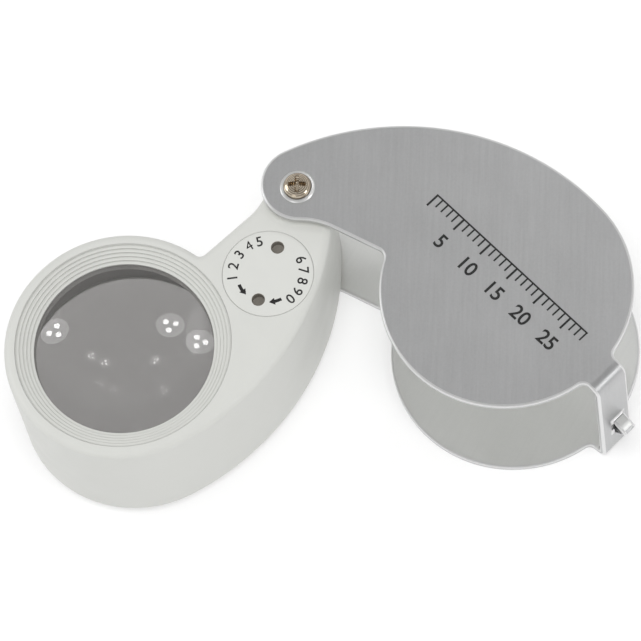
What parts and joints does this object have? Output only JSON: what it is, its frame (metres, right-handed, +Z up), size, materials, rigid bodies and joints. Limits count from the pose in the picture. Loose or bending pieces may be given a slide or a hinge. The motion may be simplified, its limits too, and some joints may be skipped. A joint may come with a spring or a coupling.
{
  "type": "viewing loupe",
  "caption": "Folding illuminated loupe: a comma-shaped lens body with two lenses, lamps and a screw-in battery cover swings out of a bent sheet-metal case.",
  "frame": {"origin": "on the pivot axis, at the underside of the case's lower plate", "axes": "+X from the pivot to the centre of the case's round end; +Z up along the pivot axis, out of the top plate; +Y to the convex side of the case. At rest the lens body is swung out 109 degrees from its folded place, towards -Y"},
  "size_m": [0.0788, 0.0636, 0.0252],
  "materials": {
    "case_metal": "brushed",
    "screw_metal": "satin",
    "post_metal": "satin",
    "washer_plastic": "matt",
    "contact_brass": "satin",
    "body_plastic": "satin",
    "base_plastic": "satin",
    "bezel_plastic": "satin",
    "lens_glass": "polished",
    "spacer_black": "matt",
    "lamp_resin": "clear",
    "spring_steel": "bright",
    "cell_steel": "bright",
    "cover_metal": "satin",
    "wire_red": "satin",
    "wire_black": "satin"
  },
  "bodies": {
    "case": {"case_sheet": "case_metal", "pivot_screw": "screw_metal", "pivot_post": "post_metal", "friction_washer": "washer_plastic", "contact_washer": "contact_brass"},
    "lens_body": {"body_shell": "body_plastic", "base_cover": "base_plastic", "base_screws": "post_metal", "pivot_bush": "contact_brass", "lens_bezel": "bezel_plastic", "upper_lens": "lens_glass", "lens_spacer": "spacer_black", "lower_lens": "lens_glass", "led_left": "lamp_resin", "led_right": "lamp_resin", "switch_wiper": "contact_brass", "positive_strip": "contact_brass", "battery_spring": "spring_steel", "coin_cell_1": "cell_steel", "coin_cell_2": "cell_steel", "coin_cell_3": "cell_steel", "positive_wire": "wire_red", "negative_wire": "wire_black"},
    "cover_contact": {"cover_contact": "contact_brass"},
    "battery_cover": {"battery_cover": "cover_metal"}
  },
  "joints": [
    {"name": "lens_swing", "type": "hinge", "parent": "case", "child": "lens_body", "pos_m": [0, 0, 0.012], "axis": [0, 0, 1], "range_deg": [-71, 109]},
    {"name": "cover_lift", "type": "slide", "parent": "lens_body", "child": "cover_contact", "axis": [0, 0, 1], "range_m": [0, 0.0009]},
    {"name": "cover_turn", "type": "hinge", "parent": "cover_contact", "child": "battery_cover", "pos_m": [0.002, -0.01201, 0.0215], "axis": [0, 0, 1], "range_deg": [0, 540]}
  ],
  "couplings": [
    {"joint": "cover_lift", "follows": "cover_turn", "m_per_rad": 0.000095493}
  ]
}
